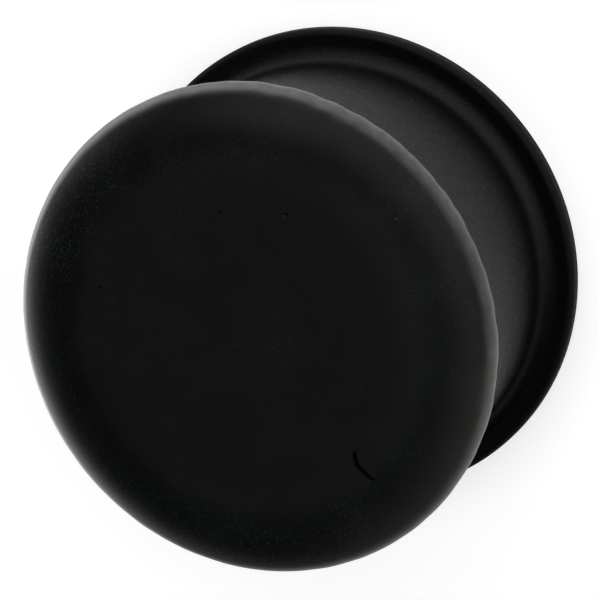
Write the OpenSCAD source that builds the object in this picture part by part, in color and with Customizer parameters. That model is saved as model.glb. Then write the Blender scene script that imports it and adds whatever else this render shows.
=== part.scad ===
// Solid double flared ear plug, moulded in one piece of soft black silicone.
// It stands on its back face, on the plane z = 0, with its axis along Z
// and its broad front face up.

/* [Barrel] */
// Diameter of the barrel, which is the gauge of the plug
barrel_d = 16; // [10:0.5:25]
// Length of the barrel between the cap and the back flange
barrel_l = 8; // [5:0.1:14]

/* [Flare] */
// How far the cap and the back flange stand out over the barrel
flare_h = 1.25; // [1:0.05:2]
// Radius of the hollow corners where the barrel meets the cap and the flange
root_r = 0.7; // [0.3:0.05:0.7]

/* [Front cap] */
// Thickness of the cap from its back to its front face
cap_t = 2.65; // [2.3:0.05:4]
// How far in from the rim the cap's front face begins to fall away
cap_soft_w = 3.05; // [2.4:0.05:4]
// Radius of the cap's rim
cap_rim_r = 1; // [0.7:0.05:1.1]

/* [Back flange] */
// Thickness of the flange
flange_t = 0.85; // [0.75:0.05:1.6]
// Radius of the flange's edge on the side of the barrel
flange_edge_r = 0.25; // [0.1:0.05:0.3]
// Radius of the flange's edge on the back face
flange_back_r = 0.35; // [0.1:0.05:0.4]

/* [Hidden] */
$fn = 96;
// Largest turn between two points of an arc in the section, in degrees
arc_turn = 9;

silicone = [0.09, 0.09, 0.095];
barrel_r = barrel_d / 2;
flare_r = barrel_r + flare_h;

// Places along the axis, measured from the back face
cap_back_z = flange_t + barrel_l;
plug_l = cap_back_z + cap_t;

// The cap's soft edge is an arc that leaves the flat face and runs into the rim's arc
rim_x = flare_r - cap_rim_r;
rim_z = cap_back_z + cap_rim_r;
soft_x = flare_r - cap_soft_w;
soft_run = cap_soft_w - cap_rim_r;
soft_fall = cap_t - 2 * cap_rim_r;
soft_angle = 2 * atan(soft_fall / soft_run);
soft_r = cap_rim_r + soft_run / sin(soft_angle);
soft_z = plug_l - soft_r;

// Points of an arc about x, z, from one direction to another in degrees
function arc(x, z, r, from, to) =
    let (steps = ceil(abs(to - from) / arc_turn))
    [
        for (i = [0 : steps])
            let (angle = from + (to - from) * i / steps)
            [x + r * cos(angle), z + r * sin(angle)]
    ];

// Half section from the middle of the back face, out and round to the middle of the front face
module plug_section() {
    polygon(concat(
        [[0, 0]],
        arc(flare_r - flange_back_r, flange_back_r, flange_back_r, -90, 0),
        arc(flare_r - flange_edge_r, flange_t - flange_edge_r, flange_edge_r, 0, 90),
        arc(barrel_r + root_r, flange_t + root_r, root_r, -90, -180),
        arc(barrel_r + root_r, cap_back_z - root_r, root_r, 180, 90),
        arc(rim_x, rim_z, cap_rim_r, -90, 90 - soft_angle),
        arc(soft_x, soft_z, soft_r, 90 - soft_angle, 90),
        [[0, plug_l]]
    ));
}

module plug() {
    color(silicone)
        rotate_extrude()
            plug_section();
}

plug();
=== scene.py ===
"""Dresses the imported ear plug: its soft black silicone body, a pale floor, soft light and the camera."""

import math

import bmesh
import bpy
from bpy.props import FloatProperty, FloatVectorProperty, IntProperty, PointerProperty
from mathutils import Matrix, Vector, noise


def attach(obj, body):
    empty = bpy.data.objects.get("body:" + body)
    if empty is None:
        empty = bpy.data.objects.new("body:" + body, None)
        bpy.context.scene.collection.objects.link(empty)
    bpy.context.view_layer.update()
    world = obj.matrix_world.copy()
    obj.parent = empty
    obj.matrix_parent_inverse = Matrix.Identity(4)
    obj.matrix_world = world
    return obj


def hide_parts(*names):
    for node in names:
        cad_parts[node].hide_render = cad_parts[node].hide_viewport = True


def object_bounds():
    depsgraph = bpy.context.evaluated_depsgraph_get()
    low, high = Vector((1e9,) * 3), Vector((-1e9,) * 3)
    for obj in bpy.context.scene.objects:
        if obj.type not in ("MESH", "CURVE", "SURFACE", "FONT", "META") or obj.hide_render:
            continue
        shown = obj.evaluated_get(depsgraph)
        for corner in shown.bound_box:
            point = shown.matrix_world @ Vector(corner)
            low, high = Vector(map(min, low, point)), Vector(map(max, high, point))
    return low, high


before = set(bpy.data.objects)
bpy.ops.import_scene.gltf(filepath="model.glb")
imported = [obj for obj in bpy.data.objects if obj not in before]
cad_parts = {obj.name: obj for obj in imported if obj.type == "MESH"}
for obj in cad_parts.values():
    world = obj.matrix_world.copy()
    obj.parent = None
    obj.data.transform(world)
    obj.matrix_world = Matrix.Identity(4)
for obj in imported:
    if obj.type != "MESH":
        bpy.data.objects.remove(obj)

bl_info = {
    "name": "Ear Plug",
    "version": (1, 0, 0),
    "blender": (4, 5, 0),
    "location": "View3D > Sidebar > Ear Plug",
    "description": "Builds a solid double flared ear plug of matte silicone and its studio",
    "category": "Add Mesh",
}

CAD_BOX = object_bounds()
CAD_NODE = "plug"
MM = 0.001

# The photograph: its side in pixels, and the pixel where the middle of the back face falls
IMAGE_SIDE = 600
BACK_CENTRE_PX = (351.8, 259.2)
SENSOR = 36.0
# Nearest and farthest place that the camera sees, in metres
CLIP = (0.005, 20.0)

# Distance under which two points of the body are one
MERGE = 1e-7
# Angle between two faces over which the edge between them looks sharp
SHARP = math.radians(35)

# Dents in the front face: points along each, in millimetres from the middle of the face, width and depth.
# The first is the long curved nick, and the others are pits
NICK = (
    (-5.66, -1.12),
    (-5.87, -0.97),
    (-6.09, -0.91),
    (-6.31, -0.94),
    (-6.51, -0.96),
    (-6.7, -0.99),
    (-6.81, -1.04),
)
DENTS = (
    (NICK, 0.19, 0.3),
    (((4.15, -2.48), (4.11, -2.52)), 0.15, 0.08),
    (((2.68, -4.54), (2.6, -4.58)), 0.16, 0.05),
    (((4.61, 3.29), (4.54, 3.26)), 0.16, 0.08),
    (((0.24, -7.85), (0.18, -7.88)), 0.1, 0.04),
    (((-2.09, -6.77), (-2.14, -6.78)), 0.1, 0.04),
)
# How far round a dent the mesh is made finer, as a share of half the dent's width, and in how many passes
DENT_MARGIN = 1.6
PASSES = 6
# Share of a half turn of a sine that is left out at each end of a dent, whose width follows that sine
DENT_END = 0.1
# The lower this power, the steeper the dents' walls
DENT_WALL = 0.4
# Share of the cap's thickness, from the front, that the dents may reach
DENT_ZONE = 1 / 8

# Share of the rim's wave that is left on the side of +Y, what is added to its noise, so that the
# rim lies inwards more often than not, and how steeply the wave grows towards the rim
WAVE_FAR = 0.2
WAVE_LEVEL = 0.2
WAVE_RISE = 2

# Stretches over which a mask rises from nothing to full, in millimetres from the axis:
# the ring of coarse specks, the soft edge with its painted highlight, the shoulder inside it with its end,
# and the flange's edge
RING = (6.4, 7.4)
SOFT_EDGE = (7.2, 10.4)
SHOULDER = (5.0, 7.5)
SHOULDER_END = (7.5, 8.5)
FLANGE_EDGE = (8.9, 9.2)
# Along the axis, where the barrel's dust begins, leaving its foot by the flange dark as a painted shade,
# and how far the cap's marks take to rise
BARREL_FOOT = (2.0, 3.0)
CAP_RISE = 0.5
# Across the front face, from its clean side to the side where dust has settled, where the rim's painted
# highlight is weaker
SETTLED = (-3.0, 4.0)
# Of the cosine of the direction from the side of the painted highlight
HIGHLIGHT_SPREAD = (0.6, 1.0)
SHOULDER_SPREAD = (-0.6, 0.6)
# Of the noise's value, whose middle comes first
NOISE_MIDDLE = 0.5
CLOUD = (0.42, 0.68)
BLOTCH = (0.3, 0.7)
MANY_SPECKS = (0.42, 0.7)
SOME_SPECKS = (0.56, 0.72)
FEW_SPECKS = (0.6, 0.75)

# Cover of dust: the even film, the clouds, the ring and what settled on it, a painted highlight on the
# shoulder, and the barrel
FILM_DUST = 0.0075
CLOUD_DUST = 0.04
RING_DUST = (0.02, 0.17)
SHOULDER_HIGHLIGHT = 0.014
BARREL_DUST = (0.25, 0.4)
# Wear of the rim, partly real scuffing and partly a painted highlight: even, by the grain and by the
# blotches, how much of it is lost on the far side away from the light, and the soft edge's painted
# highlight
RIM_WEAR_AND_HIGHLIGHT = (0.13, 0.18, 0.12)
DIM_SIDE_LOSS = 0.5
SOFT_EDGE_HIGHLIGHT = 0.23
# What the patches, dust, the flange's edge and the rear's grain add to the roughness
PATCH_ROUGH = 0.1
DUST_ROUGH = 0.08
EDGE_ROUGH = 0.3
REAR_ROUGH = 0.8
# How many times higher the grain stands behind the cap
REAR_GRAIN = 12

# The floor: its points round the rim, its drop under the plug in millimetres, and its roughness
FLOOR_TURNS = 96
FLOOR_DROP = 0.01
FLOOR_ROUGH = 0.9
# Of the cosine of the direction from the bright side, over which the dim side turns bright
BRIGHT_SPREAD = (-0.9, 0.3)
# Where the floor is a little darker under the plug's edge, in millimetres from the axis, and by how much
CONTACT = (9.0, 11.5)
CONTACT_SHADE = 0.12
# The floor's middle glow: its start and end in millimetres from the axis, and over which of the
# cosine of the direction from its side it rises
MIDDLE_START = (16.0, 30.0)
MIDDLE_END = (60.0, 160.0)
MIDDLE_SPREAD = (-0.1, 0.6)

# The room: the backdrop's top in degrees over the horizon, and the ceiling's edge in degrees
# from the vertical
BACKDROP_TOP = (2, 8)
CEILING_EDGE = (65, 50)
# Of the sine of the angle from the vertical: where the side light begins, and where only its
# low part is left
SIDE_START = (0.34, 0.68)
SIDE_LOW = (0.8, 0.92)
# Of the cosine of the direction from each light's middle
SIDE_SPREAD = (0.0, 0.55)
WINDOW_SPREAD = (0.3, 0.75)
LOW_SPREAD = (0.92, 0.99)
# The small low light's height, as the sine of the angle from the vertical, and its share of
# the side light
LOW_HEIGHT = (0.88, 0.96)
LOW_SHARE = 0.4

# The lamp overhead: its angle from the vertical and its azimuth in degrees, its distance and
# its diameter in metres, and its brightness
OVERHEAD = {"polar": 12, "azimuth": 90, "distance": 0.6, "size": 0.45, "radiance": 0.86}


def millimetres(name, description, default):
    """A length of the plug that a user may change, given in millimetres."""
    return FloatProperty(
        name=name, description=description, default=default * MM, min=0.0, unit="LENGTH", precision=5
    )


def degrees(name, description, default):
    """An angle that a user may change, given in degrees."""
    return FloatProperty(name=name, description=description, default=math.radians(default), unit="ROTATION")


def colour_of(name, description, default):
    """A colour that a user may change."""
    return FloatVectorProperty(
        name=name, description=description, subtype="COLOR", default=default, min=0, max=1
    )


class PlugSizes(bpy.types.PropertyGroup):
    """Lengths of the plug's section, as in the construction model."""

    barrel_d: millimetres("Barrel diameter", "Gauge of the plug", 16.0)
    barrel_l: millimetres("Barrel length", "Length between the cap and the flange", 8.0)
    flare_h: millimetres("Flare height", "How far the cap and flange stand out over the barrel", 1.25)
    root_r: millimetres("Root radius", "Radius of the hollow corners at the barrel's ends", 0.7)
    cap_t: millimetres("Cap thickness", "From the back of the cap to its front face", 2.65)
    cap_soft_w: millimetres("Soft edge width", "How far in from the rim the front begins to fall", 3.05)
    cap_rim_r: millimetres("Rim radius", "Radius of the cap's rim", 1.0)
    flange_t: millimetres("Flange thickness", "Thickness of the back flange", 0.85)
    flange_edge_r: millimetres("Flange front edge", "Radius of its edge beside the barrel", 0.25)
    flange_back_r: millimetres("Flange back edge", "Radius of its edge on the back face", 0.35)
    turns: IntProperty(name="Turns", description="Steps of the body round its axis", default=480, min=48)
    arc_turn: degrees("Arc turn", "Largest turn between two rings of a rounding", 5)
    ring_gap: millimetres("Ring gap", "Largest distance between two rings on a straight stretch", 0.45)


class PlugMarks(bpy.types.PropertyGroup):
    """Wear and moulding marks on the plug."""

    dent_width: FloatProperty(
        name="Dent width", description="Share of the dents' real width", default=1.0, min=0.1
    )
    dent_depth: FloatProperty(
        name="Dent depth", description="Share of the dents' real depth", default=1.0, min=0.0
    )
    finest: millimetres("Finest edge", "Length of the mesh edges inside a mark", 0.03)
    wave_height: millimetres("Rim wave", "How far the moulded rim wanders inwards", 0.07)
    wave_length: millimetres("Rim wave length", "Length of the rim's waves", 0.7)


class PlugFinish(bpy.types.PropertyGroup):
    """Look of the silicone."""

    black: colour_of("Silicone", "Colour of the silicone", (0.0012, 0.0013, 0.00125))
    # The dust colour also paints the shoulder's highlight on one side
    dust: colour_of("Dust", "Colour of the fine dust on it", (0.118, 0.148, 0.134))
    # The scuff colour also paints the highlight on the cap's rim and soft edge
    scuff_and_highlight: colour_of("Scuff", "Colour of the worn silicone", (0.122, 0.121, 0.114))
    roughness: FloatProperty(
        name="Roughness", description="Roughness of the silicone", default=0.31, min=0, max=1
    )
    ior: FloatProperty(name="Refractive index", description="Of the silicone", default=1.43, min=1, max=3)
    gloss: FloatProperty(
        name="Gloss",
        description="Gloss that the dull skin keeps, 0.5 for all of it",
        default=0.101,
        min=0,
        max=1,
    )
    grain: millimetres("Grain size", "Size of the specks of dust", 0.07)
    patch: millimetres("Patch size", "Size of the cloudy patches of dust", 2.2)
    drift: FloatVectorProperty(
        name="Patch drift",
        description="Moves the cloudy patches",
        subtype="TRANSLATION",
        default=(0.0031, -0.0017, 0.0004),
    )
    blotch: millimetres("Blotch size", "Size of the worn spots on the cap's rim", 0.5)
    # The rim's wear, partly a painted highlight, lies between these distances; the height bounds all that
    # is painted on the cap
    wear_highlight_from: millimetres("Wear start", "Distance from the axis where the rim begins to look worn", 9.0)
    wear_highlight_to: millimetres("Wear end", "Distance from the axis where it looks most worn", 9.25)
    cap_marks_low: millimetres("Wear height", "Height above which the plug's rim is worn", 9.2)
    # Direction of the painted highlight on the soft edge and the shoulder, the side where light falls
    highlight_side: degrees("Worn side", "Direction in which the soft edge is most worn", 195)
    bump: millimetres("Grain height", "Height of the surface's fine grain", 0.002)


class PlugStudio(bpy.types.PropertyGroup):
    """Floor, light and camera."""

    floor_radius: FloatProperty(
        name="Floor radius", description="Radius of the floor", default=2.0, unit="LENGTH"
    )
    floor_colour: colour_of("Floor", "Colour of the floor", (0.4, 0.4, 0.4))
    floor_near: FloatProperty(
        name="Floor glow", description="Light given by the floor round the plug", default=0.76
    )
    floor_middle: FloatProperty(
        name="Middle glow", description="Added glow of the floor on one side, farther off", default=4.5
    )
    middle_side: degrees("Middle glow direction", "Direction of that side", 20)
    side_light: FloatProperty(
        name="Side light", description="Strength of the soft light on one side of the room", default=2.2
    )
    side_turn: degrees("Side light direction", "Middle of the soft light on one side", 290)
    floor_bright: FloatProperty(
        name="Bright side glow", description="Light given by the far floor on the bright side", default=2.4
    )
    floor_dim: FloatProperty(
        name="Dim side glow", description="Light given by the far floor on the dim side", default=0.5
    )
    glow_start: millimetres("Glow start", "Distance where the floor begins to change its glow", 18.0)
    glow_end: millimetres("Glow end", "Distance where the floor has its far glow", 60.0)
    bright_side: degrees("Bright side", "Direction of the brighter side of the room", 310)
    dome: FloatProperty(name="Dome light", description="Strength of the room's ceiling", default=0.1)
    window_turn: degrees("Window direction", "Where the side light reaches low down", 289)
    kicker_turn: degrees("Low light direction", "Where a small low light stands", 26)
    view_tilt: degrees("View tilt", "Angle between the plug's axis and the view", 27.09)
    axis_turn: degrees("Axis direction", "Rise of the axis in the picture, from front to back", 36.44)
    view_distance: millimetres("View distance", "From the camera to the back face, along the view", 144.86)
    lens: FloatProperty(name="Lens", description="Focal length in millimetres", default=224.4)


class Nodes:
    """Adds nodes to one tree."""

    def __init__(self, tree):
        self.tree = tree
        tree.nodes.clear()

    def add(self, kind, settings=None, **values):
        """A node of that type. Its settings are set first, and then its sockets get values or links."""
        node = self.tree.nodes.new(kind)
        for key, value in (settings or {}).items():
            setattr(node, key, value)
        for key, value in values.items():
            # A key such as i0 gives the socket's place, and any other its name
            by_place = key[0] == "i" and key[1:].isdigit()
            socket = node.inputs[int(key[1:]) if by_place else key.replace("_", " ")]
            if isinstance(value, Term):
                self.tree.links.new(value.socket, socket)
            else:
                socket.default_value = value
        return node

    def term(self, kind, settings=None, output=0, **values):
        """One output of a new node, ready for sums."""
        return Term(self, self.add(kind, settings, **values).outputs[output])

    def parts(self, vector):
        """The three parts of a vector."""
        return [Term(self, part) for part in self.add("ShaderNodeSeparateXYZ", Vector=vector).outputs]

    def noise(self, place, size, detail, roughness):
        """Noise with spots of that size."""
        return self.term(
            "ShaderNodeTexNoise",
            {"noise_dimensions": "3D"},
            Vector=place,
            Scale=1 / size,
            Detail=detail,
            Roughness=roughness,
        )

    def mixed(self, share, first, second):
        """A mix of two colours."""
        return self.term(
            "ShaderNodeMix", {"data_type": "RGBA"}, output=2, i0=share, i6=first, i7=second
        )


class Term:
    """A value socket that may be added, multiplied and so on."""

    def __init__(self, nodes, socket):
        self.nodes = nodes
        self.socket = socket

    def math(self, operation, a, b=0.0, c=0.0):
        return self.nodes.term("ShaderNodeMath", {"operation": operation}, i0=a, i1=b, i2=c)

    def __add__(self, other):
        return self.math("ADD", self, other)

    __radd__ = __add__

    def __mul__(self, other):
        return self.math("MULTIPLY", self, other)

    __rmul__ = __mul__

    def __sub__(self, other):
        return self.math("SUBTRACT", self, other)

    def __rsub__(self, other):
        return self.math("SUBTRACT", other, self)

    def __truediv__(self, other):
        return self.math("DIVIDE", self, other)

    def __pow__(self, other):
        return self.math("POWER", self, other)

    def between(self, low, high):
        """Rises smoothly from 0 at low to 1 at high."""
        return self.nodes.term(
            "ShaderNodeMapRange",
            {"interpolation_type": "SMOOTHSTEP"},
            Value=self,
            From_Min=low,
            From_Max=high,
        )


def metres(stretch):
    """A stretch given in millimetres, in metres."""
    return [end * MM for end in stretch]


def toward(x, y, direction):
    """How far a place lies in that direction."""
    return x * math.cos(direction) + y * math.sin(direction)


def far_glow(studio, side):
    """Light of the far floor and of the backdrop over it, by how far the bright side is faced."""
    return studio.floor_dim + (studio.floor_bright - studio.floor_dim) * side.between(*BRIGHT_SPREAD)


def arc(x, z, radius, start, end, turn):
    """Points of an arc of the section about x, z, from one direction to another."""
    steps = max(1, math.ceil(abs(end - start) / turn))
    angles = [start + (end - start) * i / steps for i in range(steps + 1)]
    return [(x + radius * math.cos(a), z + radius * math.sin(a)) for a in angles]


def plug_section(s):
    """Half section, from the middle of the back face out and round to the middle of the front face."""
    right = math.pi / 2
    barrel_r = s.barrel_d / 2
    flare_r = barrel_r + s.flare_h
    cap_back = s.flange_t + s.barrel_l
    length = cap_back + s.cap_t
    soft_run = s.cap_soft_w - s.cap_rim_r
    soft_angle = 2 * math.atan((s.cap_t - 2 * s.cap_rim_r) / soft_run)
    soft_r = s.cap_rim_r + soft_run / math.sin(soft_angle)
    rounds = (
        (flare_r - s.flange_back_r, s.flange_back_r, s.flange_back_r, -right, 0),
        (flare_r - s.flange_edge_r, s.flange_t - s.flange_edge_r, s.flange_edge_r, 0, right),
        (barrel_r + s.root_r, s.flange_t + s.root_r, s.root_r, -right, -math.pi),
        (barrel_r + s.root_r, cap_back - s.root_r, s.root_r, math.pi, right),
        (flare_r - s.cap_rim_r, cap_back + s.cap_rim_r, s.cap_rim_r, -right, right - soft_angle),
        (flare_r - s.cap_soft_w, length - soft_r, soft_r, right - soft_angle, right),
    )
    points = [(0.0, 0.0)]
    for x, z, radius, start, end in rounds:
        points += arc(x, z, radius, start, end, s.arc_turn)
    return points + [(0.0, length)]


def with_rings(points, gap):
    """The same section, its straight stretches cut so that no two rings lie further apart than gap."""
    filled = [points[0]]
    for (x0, z0), (x1, z1) in zip(points, points[1:]):
        length = math.hypot(x1 - x0, z1 - z0)
        if length < MERGE:
            continue
        steps = max(1, math.ceil(length / gap))
        filled += [(x0 + (x1 - x0) * i / steps, z0 + (z1 - z0) * i / steps) for i in range(1, steps + 1)]
    return filled


def turned(points, turns):
    """A closed body, from the section turned about the axis."""
    body = bmesh.new()
    corners = [body.verts.new((x, 0, z)) for x, z in points]
    edges = [body.edges.new(pair) for pair in zip(corners, corners[1:])]
    bmesh.ops.spin(
        body,
        geom=corners + edges,
        cent=(0, 0, 0),
        axis=(0, 0, 1),
        angle=math.tau,
        steps=turns,
        use_merge=True,
    )
    bmesh.ops.remove_doubles(body, verts=body.verts, dist=MERGE)
    bmesh.ops.recalc_face_normals(body, faces=body.faces)
    return body


def wander_rim(body, marks, rim_z, flare_r, reach):
    """Lets the cap's rim wander inwards a little, mostly on one side, as its mould leaves it."""
    for v in body.verts:
        radius = math.hypot(v.co.x, v.co.y)
        share = 1 - max(abs(v.co.z - rim_z), flare_r - radius) / reach
        if share > 0:
            wave = noise.noise(Vector((v.co.x, v.co.y, 0)) / marks.wave_length)
            side = max(0, -v.co.y / radius)
            height = marks.wave_height * (WAVE_FAR + (1 - WAVE_FAR) * side)
            pull = height * max(0, WAVE_LEVEL + wave) * min(1, WAVE_RISE * share)
            v.co.xy *= 1 - pull / radius


def distance_to_path(x, y, path):
    """Distance from a point to a line of points, and how far along the line it is, from 0 to 1."""
    best, along = math.inf, 0.0
    for i, ((x0, y0), (x1, y1)) in enumerate(zip(path, path[1:])):
        dx, dy = x1 - x0, y1 - y0
        t = min(1, max(0, ((x - x0) * dx + (y - y0) * dy) / (dx * dx + dy * dy)))
        d = math.hypot(x - x0 - t * dx, y - y0 - t * dy)
        if d < best:
            best, along = d, (i + t) / (len(path) - 1)
    return best, along


def refine(body, top, path, reach, finest):
    """Splits the front face's edges within reach of a path until they are as short as finest."""
    for _ in range(PASSES):
        edges = []
        for e in body.edges:
            length = e.calc_length()
            middle = (e.verts[0].co + e.verts[1].co) / 2
            if middle.z > top and length > finest:
                if distance_to_path(middle.x, middle.y, path)[0] < reach + length / 2:
                    edges.append(e)
        if not edges:
            break
        bmesh.ops.subdivide_edges(body, edges=edges, cuts=1, use_grid_fill=True)


def press_dents(body, marks, top):
    """Presses the nick and the pits into the front face."""
    for points, width, depth in DENTS:
        path = [(x * MM, y * MM) for x, y in points]
        half = width * marks.dent_width * MM / 2
        deepest = depth * marks.dent_depth * MM
        refine(body, top, path, DENT_MARGIN * half, marks.finest)
        for v in body.verts:
            if v.co.z > top:
                d, along = distance_to_path(v.co.x, v.co.y, path)
                sweep = math.pi * (DENT_END + (1 - 2 * DENT_END) * along)
                reach = half * (1 + math.sin(sweep)) / 2
                if d < reach:
                    v.co.z -= deepest * (1 - (d / reach) ** 2) ** DENT_WALL


def finished(body, name, material):
    """An object of that mesh, smooth but for its sharp edges, with its material."""
    mesh = bpy.data.meshes.new(name)
    body.normal_update()
    body.to_mesh(mesh)
    body.free()
    mesh.shade_smooth()
    mesh.set_sharp_from_angle(angle=SHARP)
    mesh.materials.append(material)
    piece = bpy.data.objects.new(name, mesh)
    bpy.context.scene.collection.objects.link(piece)
    return piece


def silicone(finish):
    """Matte black silicone with fine dust on it, coarser and stronger in its grain behind the cap, and
    painted highlights on its rim, soft edge and shoulder.
    """
    material = bpy.data.materials.new("matte_silicone")
    material.use_nodes = True
    nodes = Nodes(material.node_tree)
    place = nodes.term("ShaderNodeTexCoord", output="Object")
    drift = nodes.term("ShaderNodeMapping", Vector=place, Location=tuple(finish.drift))
    grain = nodes.noise(place, finish.grain, detail=2.0, roughness=0.6)
    patch = nodes.noise(drift, finish.patch, detail=4.0, roughness=0.6)
    blotch = nodes.noise(place, finish.blotch, detail=2.0, roughness=0.5)

    x, y, z = nodes.parts(place)
    radius = (x * x + y * y) ** 0.5
    cap = z.between(finish.cap_marks_low, finish.cap_marks_low + CAP_RISE * MM)
    rear = 1 - cap
    rim = radius.between(finish.wear_highlight_from, finish.wear_highlight_to)
    ring = radius.between(*metres(RING))
    # Dust specks stop short of the barrel's foot, which stays dark by the flange: a painted shade
    barrel = rear * z.between(*metres(BARREL_FOOT))
    edge = rear * radius.between(*metres(FLANGE_EDGE))
    cloud = patch.between(*CLOUD)
    settled = y.between(*metres(SETTLED))
    # Painted highlight: the soft edge and the shoulder are lighter on one side, where light falls
    facing = toward(x, y, finish.highlight_side) / radius
    soft = radius.between(*metres(SOFT_EDGE)) * facing.between(*HIGHLIGHT_SPREAD)
    shoulder = radius.between(*metres(SHOULDER)) * (1 - radius.between(*metres(SHOULDER_END)))
    shoulder = shoulder * facing.between(*SHOULDER_SPREAD)

    film = FILM_DUST + grain.between(*MANY_SPECKS) * CLOUD_DUST * cloud
    film = film + grain.between(*SOME_SPECKS) * ring * (RING_DUST[0] + RING_DUST[1] * settled)
    # The rim's scuffing is partly real and partly a painted highlight, weaker on the far side away from the
    # light; worn carries both
    even, by_grain, by_blotch = RIM_WEAR_AND_HIGHLIGHT
    worn = rim * (even + by_grain * grain + by_blotch * blotch.between(*BLOTCH))
    worn = cap * (worn * (1 - DIM_SIDE_LOSS * settled) + SOFT_EDGE_HIGHLIGHT * soft)
    specks = grain.between(*FEW_SPECKS) * (BARREL_DUST[0] + BARREL_DUST[1] * cloud)
    # The shoulder's share is a painted highlight on one side, the rest is dust
    dust_and_highlight = cap * (film + SHOULDER_HIGHLIGHT * shoulder) + barrel * specks

    colour = nodes.mixed(dust_and_highlight, (*finish.black, 1), (*finish.dust, 1))
    colour = nodes.mixed(worn, colour, (*finish.scuff_and_highlight, 1))
    rough = finish.roughness + PATCH_ROUGH * (patch - NOISE_MIDDLE) + DUST_ROUGH * (dust_and_highlight + worn)
    rough = rough + EDGE_ROUGH * edge + REAR_ROUGH * rear * (grain - NOISE_MIDDLE)
    height = grain * (REAR_GRAIN - (REAR_GRAIN - 1) * cap)
    shader = nodes.term(
        "ShaderNodeBsdfPrincipled",
        Base_Color=colour,
        Roughness=rough,
        IOR=finish.ior,
        Specular_IOR_Level=finish.gloss,
        Normal=nodes.term("ShaderNodeBump", Strength=1.0, Distance=finish.bump, Height=height),
    )
    nodes.add("ShaderNodeOutputMaterial", Surface=shader)
    return material


def pale_floor(studio):
    """Pale floor that gives light of its own, stronger farther off than round the plug."""
    material = bpy.data.materials.new("pale_floor")
    material.use_nodes = True
    nodes = Nodes(material.node_tree)
    x, y, _ = nodes.parts(nodes.term("ShaderNodeTexCoord", output="Object"))
    radius = (x * x + y * y) ** 0.5
    far = far_glow(studio, toward(x, y, studio.bright_side) / radius)
    out = radius.between(studio.glow_start, studio.glow_end)
    clear = radius.between(*metres(CONTACT))
    behind = toward(x, y, studio.middle_side) / radius
    middle = radius.between(*metres(MIDDLE_START)) * (1 - radius.between(*metres(MIDDLE_END)))
    middle = middle * behind.between(*MIDDLE_SPREAD)
    shade = 1 - CONTACT_SHADE + CONTACT_SHADE * clear
    glow = (studio.floor_near + (far - studio.floor_near) * out) * shade
    shader = nodes.term(
        "ShaderNodeBsdfPrincipled",
        Base_Color=(*studio.floor_colour, 1),
        Roughness=FLOOR_ROUGH,
        Emission_Color=glow + studio.floor_middle * middle,
        Emission_Strength=1.0,
    )
    nodes.add("ShaderNodeOutputMaterial", Surface=shader)
    return material


class PLUG_OT_body(bpy.types.Operator):
    """Turns the plug's body, marks it and gives it its silicone"""

    bl_idname = "plug.body"
    bl_label = "Build Plug"
    bl_options = {"REGISTER", "UNDO"}

    def execute(self, context):
        sizes, marks = context.scene.plug_sizes, context.scene.plug_marks
        body = turned(with_rings(plug_section(sizes), sizes.ring_gap), sizes.turns)
        rim_z = sizes.flange_t + sizes.barrel_l + sizes.cap_rim_r
        wander_rim(body, marks, rim_z, sizes.barrel_d / 2 + sizes.flare_h, sizes.cap_rim_r)
        length = sizes.flange_t + sizes.barrel_l + sizes.cap_t
        press_dents(body, marks, length - sizes.cap_t * DENT_ZONE)
        piece = finished(body, "plug_body", silicone(context.scene.plug_finish))
        if len(piece.data.polygons) < sizes.turns:
            raise RuntimeError("the plug's body has too few faces")
        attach(piece, "root")
        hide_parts(CAD_NODE)
        return {"FINISHED"}


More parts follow.
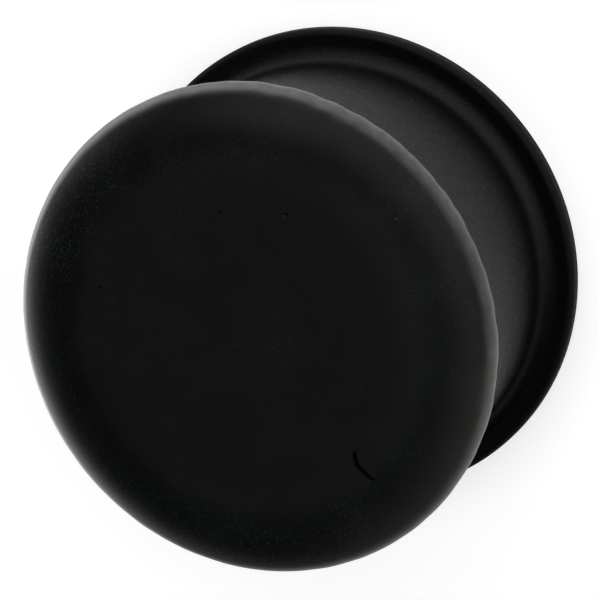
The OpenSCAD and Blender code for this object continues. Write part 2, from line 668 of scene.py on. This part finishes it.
class PLUG_OT_stage(bpy.types.Operator):
    """Lays the pale floor, lights it softly and sets the camera"""

    bl_idname = "plug.stage"
    bl_label = "Build Studio"
    bl_options = {"REGISTER", "UNDO"}

    def execute(self, context):
        studio = context.scene.plug_studio
        disc = bmesh.new()
        bmesh.ops.create_circle(disc, cap_ends=True, segments=FLOOR_TURNS, radius=studio.floor_radius)
        bmesh.ops.translate(disc, verts=disc.verts, vec=(0, 0, CAD_BOX[0].z - FLOOR_DROP * MM))
        finished(disc, "floor", pale_floor(studio))
        self.room(context, studio)
        self.lamp(context)
        self.camera(context, studio)
        return {"FINISHED"}

    def room(self, context, studio):
        """A dim room: a pale backdrop low round it, a weak ceiling and soft light from one side."""
        world = bpy.data.worlds.new("studio_room")
        world.use_nodes = True
        context.scene.world = world
        nodes = Nodes(world.node_tree)
        x, y, height = nodes.parts(nodes.term("ShaderNodeTexCoord", output="Generated"))
        backdrop = far_glow(studio, toward(x, y, studio.bright_side))
        low = 1 - height.between(*(math.sin(math.radians(a)) for a in BACKDROP_TOP))
        high = height.between(*(math.cos(math.radians(a)) for a in CEILING_EDGE))
        # Sine of the angle from the vertical
        level = (x * x + y * y) ** 0.5
        facing = toward(x, y, studio.side_turn) / level
        window = toward(x, y, studio.window_turn) / level
        kicker = toward(x, y, studio.kicker_turn) / level
        lower = level.between(*SIDE_LOW)
        upper = facing.between(*SIDE_SPREAD) * (1 - lower)
        soft = level.between(*SIDE_START) * (upper + window.between(*WINDOW_SPREAD) * lower)
        soft = soft + LOW_SHARE * kicker.between(*LOW_SPREAD) * level.between(*LOW_HEIGHT)
        light = nodes.term(
            "ShaderNodeBackground",
            Color=backdrop * low + studio.dome * high + studio.side_light * soft,
            Strength=1.0,
        )
        nodes.add("ShaderNodeOutputWorld", Surface=light)

    def lamp(self, context):
        """A round soft lamp overhead."""
        lamp = bpy.data.lights.new("overhead_softbox", "AREA")
        lamp.shape = "DISK"
        lamp.size = OVERHEAD["size"]
        # An even disc gives its power over its area and over a half sphere
        lamp.energy = OVERHEAD["radiance"] * math.pi * math.pi * (lamp.size / 2) ** 2
        softbox = bpy.data.objects.new("overhead_softbox", lamp)
        context.scene.collection.objects.link(softbox)
        azimuth = Matrix.Rotation(math.radians(OVERHEAD["azimuth"]), 4, "Z")
        polar = Matrix.Rotation(math.radians(OVERHEAD["polar"]), 4, "Y")
        softbox.matrix_world = azimuth @ polar @ Matrix.Translation((0, 0, OVERHEAD["distance"]))

    def camera(self, context, studio):
        """Looks down on the plug as the photograph does, its axis leaning across the picture."""
        eye = bpy.data.cameras.new("camera")
        eye.sensor_width = SENSOR
        eye.lens = studio.lens
        eye.clip_start, eye.clip_end = CLIP
        camera = bpy.data.objects.new("camera", eye)
        context.scene.collection.objects.link(camera)
        context.scene.camera = camera
        # It looks straight down, leans by the tilt, and rolls so that the axis points as in the picture
        roll = math.pi / 2 + math.pi - studio.axis_turn
        turn = Matrix.Rotation(studio.view_tilt, 3, "X") @ Matrix.Rotation(roll, 3, "Z")
        # Where the middle of the back face is, seen from the camera
        per_px = studio.view_distance * SENSOR / (studio.lens * IMAGE_SIDE)
        across = (BACK_CENTRE_PX[0] - IMAGE_SIDE / 2) * per_px
        up = (IMAGE_SIDE / 2 - BACK_CENTRE_PX[1]) * per_px
        place = -(turn @ Vector((across, up, -studio.view_distance)))
        camera.matrix_world = Matrix.Translation(place) @ turn.to_4x4()


class PLUG_PT_panel(bpy.types.Panel):
    """The plug's sizes, finish and buttons"""

    bl_idname = "PLUG_PT_panel"
    bl_label = "Ear Plug"
    bl_space_type = "VIEW_3D"
    bl_region_type = "UI"
    bl_category = "Ear Plug"

    def draw(self, context):
        for group, owner in GROUPS.items():
            box = self.layout.box()
            for name in group.__annotations__:
                box.prop(getattr(context.scene, owner), name)
        for operator in OPERATORS:
            self.layout.operator(operator.bl_idname)


GROUPS = {
    PlugSizes: "plug_sizes",
    PlugMarks: "plug_marks",
    PlugFinish: "plug_finish",
    PlugStudio: "plug_studio",
}
OPERATORS = (PLUG_OT_body, PLUG_OT_stage)


def register():
    for group, name in GROUPS.items():
        bpy.utils.register_class(group)
        setattr(bpy.types.Scene, name, PointerProperty(type=group))
    for cls in (*OPERATORS, PLUG_PT_panel):
        bpy.utils.register_class(cls)


def unregister():
    for cls in reversed((*OPERATORS, PLUG_PT_panel)):
        bpy.utils.unregister_class(cls)
    for group, name in reversed(GROUPS.items()):
        delattr(bpy.types.Scene, name)
        bpy.utils.unregister_class(group)


def main():
    register()
    bpy.ops.plug.body()
    bpy.ops.plug.stage()
    bpy.context.scene.view_settings.view_transform = "Standard"


if __name__ == "__main__":
    main()
